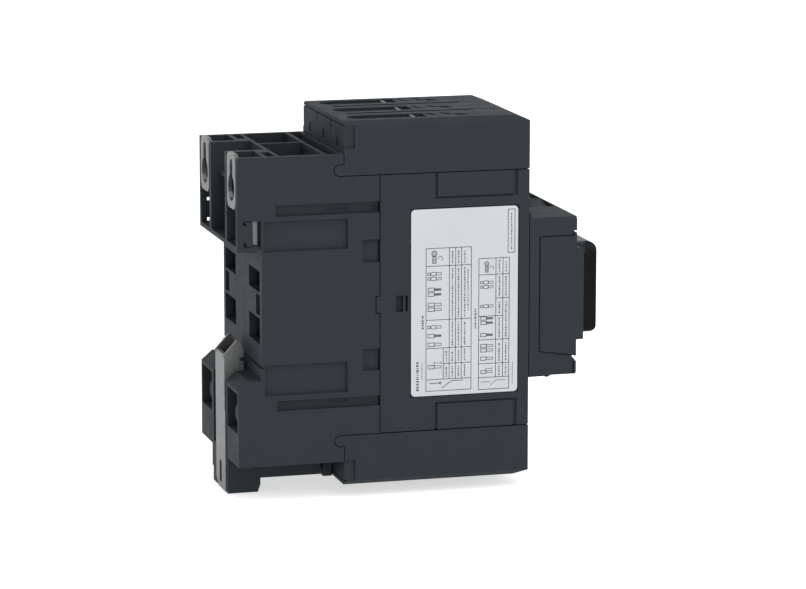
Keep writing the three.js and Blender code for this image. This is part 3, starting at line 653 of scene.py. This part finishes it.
# ---------------------------------------------------------------- head top
# Across the width, outlines are measured from the pole's middle, and half is half a piece's width.
# Front and rear are measured back from the head's front face. All are in millimetres.
TONGUE = {"half": 3.6, "rear": 37.7, "front": 36.7, "below_top": 0.25}
PEG = {"half": 1.4, "rear": 34.9, "front": 33.9, "below_top": 0.9, "sheet": 0.8}
TONGUE_CHAMFER = 0.2
ARROW_OUTLINES = (
    ((2.9, 32.5), (-0.6, 31.1), (-2.9, 28.5), (-0.4, 29.5), (2.9, 31.0)),
    ((3.0, 27.8), (-0.9, 25.0), (-1.3, 23.6), (2.2, 25.0), (3.0, 26.0)),
    ((0.6, 23.5), (-2.9, 22.5), (-3.1, 18.8), (-0.6, 20.4)),
)
POLE_LINE = {"half": 0.75, "front": 13.4, "rear": 56.9}


def pole_middle(pole):
    """Where a pole stands across the width, in millimetres."""
    low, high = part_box(f"line_contact_{pole}")
    return (low.x + high.x) / 2 * 1000.0


def slab(bm, low, high, chamfer_mm):
    """A closed plate between two corners, with its edges broken."""
    size = high - low
    centre = Matrix.Translation((low + high) / 2)
    made = bmesh.ops.create_cube(bm, size=1.0, matrix=centre @ Matrix.Diagonal((*size, 1)))
    edges = list({e for v in made["verts"] for e in v.link_edges})
    bmesh.ops.bevel(bm, geom=edges, offset=mm(chamfer_mm), segments=2, affect="EDGES", profile=0.5)


def terminal_tongues():
    """The bent tip of each line terminal and its peg, seen at the front end of the cable slot."""
    head_low, head_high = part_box("power_head_top")
    front, top = head_low.y, head_high.z
    bm = bmesh.new()
    for pole in POLES:
        x = pole_middle(pole)
        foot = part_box(f"line_contact_{pole}")[1].z
        for half, rear, near, level in (
            (TONGUE["half"], TONGUE["rear"], TONGUE["front"], top - mm(TONGUE["below_top"])),
            (PEG["half"], TONGUE["rear"], PEG["front"], foot + mm(PEG["sheet"])),
            (PEG["half"], PEG["rear"], PEG["front"], top - mm(PEG["below_top"])),
        ):
            low = Vector((mm(x - half), front + mm(near), foot))
            high = Vector((mm(x + half), front + mm(rear), level))
            slab(bm, low, high, TONGUE_CHAMFER)
    return add_mesh("terminal_tongues", bm, MATERIALS["zinc_steel"], "root")


def head_shade_marks():
    """Painted shade: dark slivers for the moulded arrow marks in front of each cable slot, and painted
    shadow lines between the poles.
    """
    head_low, head_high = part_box("power_head_top")
    front, top = head_low.y, head_high.z
    page = Sketch(lambda u, v, h: Vector((mm(u), front + mm(v), top + mm(h))), MARK_THICKNESS)
    middles = [pole_middle(pole) for pole in POLES]
    for x in middles:
        for outline in ARROW_OUTLINES:
            page.shape([(x + u, v) for u, v in outline])
    for left, right in zip(middles, middles[1:]):
        x, half = (left + right) / 2, POLE_LINE["half"]
        page.bar(x - half, POLE_LINE["front"], x + half, POLE_LINE["rear"])
    return page.build("head_shade_marks", RECESS_SHADE, "root")


# ---------------------------------------------------------------- stage
WORLD = 1.04
FLOOR = {
    "radius": 9.0,
    "sides": 96,
    "clearance_mm": 0.2,
    "base": 0.6,
    "shades": (0.59, 0.61),
    "patch_mm": 120,
    "glow": 0.6,
}
LIGHTS = (
    {"name": "key", "at": (-0.9, -0.5, 1.5), "size": 1.4, "power": 14},
    {"name": "side", "at": (-1.7, -0.3, 0.5), "size": 1.2, "power": 6},
)


def grey(value):
    return (value,) * 3


def stage():
    """A round pale floor just under the object. Its glow keeps it as white as a cut-out background."""
    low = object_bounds()[0]
    bm = bmesh.new()
    bmesh.ops.create_circle(bm, cap_ends=True, segments=FLOOR["sides"], radius=FLOOR["radius"])
    mesh = bpy.data.meshes.new("floor")
    bm.to_mesh(mesh)
    bm.free()
    floor = bpy.data.objects.new("floor", mesh)
    floor.location = (0, 0, low.z - mm(FLOOR["clearance_mm"]))
    bpy.context.scene.collection.objects.link(floor)
    s = Surface("floor_paper", grey(FLOOR["base"]), 0.9, specular=0.1)
    s.shader.inputs["Emission Color"].default_value = (1, 1, 1, 1)
    s.shader.inputs["Emission Strength"].default_value = FLOOR["glow"]
    darker, paler = FLOOR["shades"]
    wear(floor, s.finish(s.mix(s.ranged(s.noise(FLOOR["patch_mm"], 2), 0, 1), grey(darker), grey(paler))))
    floor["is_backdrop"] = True


def light_up():
    world = bpy.data.worlds.new("studio")
    bpy.context.scene.world = world
    world.use_nodes = True
    background = world.node_tree.nodes["Background"]
    background.inputs["Color"].default_value = (1, 1, 1, 1)
    background.inputs["Strength"].default_value = WORLD
    for spec in LIGHTS:
        data = bpy.data.lights.new(spec["name"], "AREA")
        data.shape = "SQUARE"
        data.size = spec["size"]
        data.energy = spec["power"]
        lamp = bpy.data.objects.new(spec["name"], data)
        lamp.location = spec["at"]
        lamp.rotation_mode = "QUATERNION"
        lamp.rotation_quaternion = (-Vector(spec["at"])).to_track_quat("-Z", "Y")
        bpy.context.scene.collection.objects.link(lamp)


def camera():
    a, e, roll = (math.radians(CAMERA[k]) for k in ("azimuth", "elevation", "roll"))
    back = Vector((math.sin(a) * math.cos(e), -math.cos(a) * math.cos(e), math.sin(e)))
    right = (-back).cross(Vector((0, 0, 1))).normalized()
    up = right.cross(-back)
    turned_right = right * math.cos(roll) + up * math.sin(roll)
    turned_up = up * math.cos(roll) - right * math.sin(roll)
    data = bpy.data.cameras.new("camera")
    data.sensor_width = SENSOR
    data.lens = CAMERA["focal_px"] / IMAGE_WIDTH * SENSOR
    data.clip_start, data.clip_end = CLIP_M
    cam = bpy.data.objects.new("camera", data)
    axes = Matrix((turned_right, turned_up, back)).transposed().to_4x4()
    cam.matrix_world = Matrix.Translation(mm3(*CAMERA["at_mm"])) @ axes
    bpy.context.scene.collection.objects.link(cam)
    bpy.context.scene.camera = cam


def main():
    camera()
    dress_nodes()
    flexing_springs()
    label_print()
    terminal_tongues()
    head_shade_marks()
    stage()
    light_up()
    bpy.context.scene.view_settings.view_transform = "Standard"


main()
